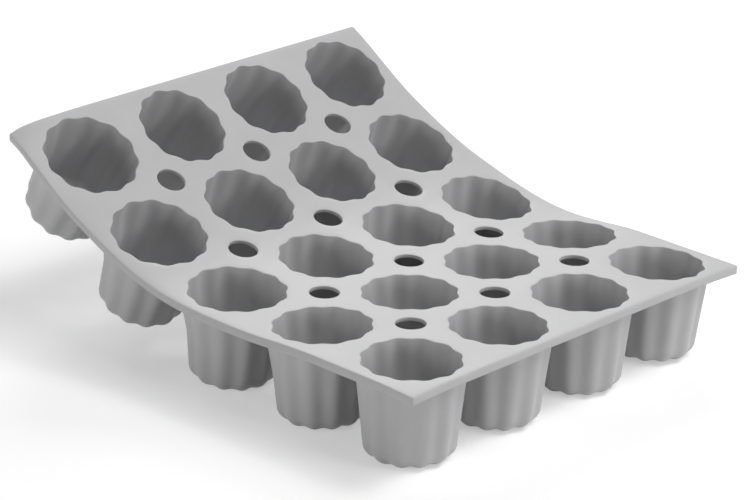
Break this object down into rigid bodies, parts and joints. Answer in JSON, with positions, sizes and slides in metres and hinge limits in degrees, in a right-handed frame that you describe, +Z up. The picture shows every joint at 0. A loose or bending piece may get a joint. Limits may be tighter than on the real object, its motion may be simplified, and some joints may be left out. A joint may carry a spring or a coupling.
{
  "type": "silicone mini canele mould",
  "caption": "Flexible silicone baking sheet with rows of deep fluted canele cups hanging below it, round vents between the cups, and bend lines between the rows; shown with its back curled up.",
  "frame": {"origin": "centre of the bounding box, on the surface that the cups stand on", "axes": "+X along a row of cups, +Y from the front row to the lifted back row, +Z up"},
  "size_m": [0.176, 0.2124, 0.0794],
  "materials": {
    "silicone": "matte"
  },
  "bodies": {
    "row_1": {"sheet_row_1": "silicone", "cup_r1_c1": "silicone", "cup_r1_c2": "silicone", "cup_r1_c3": "silicone", "cup_r1_c4": "silicone"},
    "row_2": {"sheet_row_2": "silicone", "cup_r2_c1": "silicone", "cup_r2_c2": "silicone", "cup_r2_c3": "silicone", "cup_r2_c4": "silicone"},
    "row_3": {"sheet_row_3": "silicone", "cup_r3_c1": "silicone", "cup_r3_c2": "silicone", "cup_r3_c3": "silicone", "cup_r3_c4": "silicone"},
    "row_4": {"sheet_row_4": "silicone", "cup_r4_c1": "silicone", "cup_r4_c2": "silicone", "cup_r4_c3": "silicone", "cup_r4_c4": "silicone"},
    "row_5": {"sheet_row_5": "silicone", "cup_r5_c1": "silicone", "cup_r5_c2": "silicone", "cup_r5_c3": "silicone", "cup_r5_c4": "silicone"}
  },
  "joints": [
    {"name": "bend_1_2", "type": "hinge", "parent": "row_2", "child": "row_1", "pos_m": [0, -0.06425, 0.035], "axis": [-1, 0, 0], "range_deg": [-12, 45], "stiffness_Nm_per_rad": 0.3},
    {"name": "bend_2_3", "type": "hinge", "parent": "row_3", "child": "row_2", "pos_m": [0, -0.02225, 0.035], "axis": [-1, 0, 0], "range_deg": [-19, 38], "stiffness_Nm_per_rad": 0.3, "springref_deg": -2.86},
    {"name": "bend_3_4", "type": "hinge", "parent": "row_3", "child": "row_4", "pos_m": [0, 0.01944, 0.04012], "axis": [1, 0, 0], "range_deg": [-28, 29], "stiffness_Nm_per_rad": 0.3, "springref_deg": 6.91},
    {"name": "bend_4_5", "type": "hinge", "parent": "row_4", "child": "row_5", "pos_m": [0, 0.0581, 0.05653], "axis": [1, 0, 0], "range_deg": [-22, 35], "stiffness_Nm_per_rad": 0.3, "springref_deg": 2.02}
  ]
}
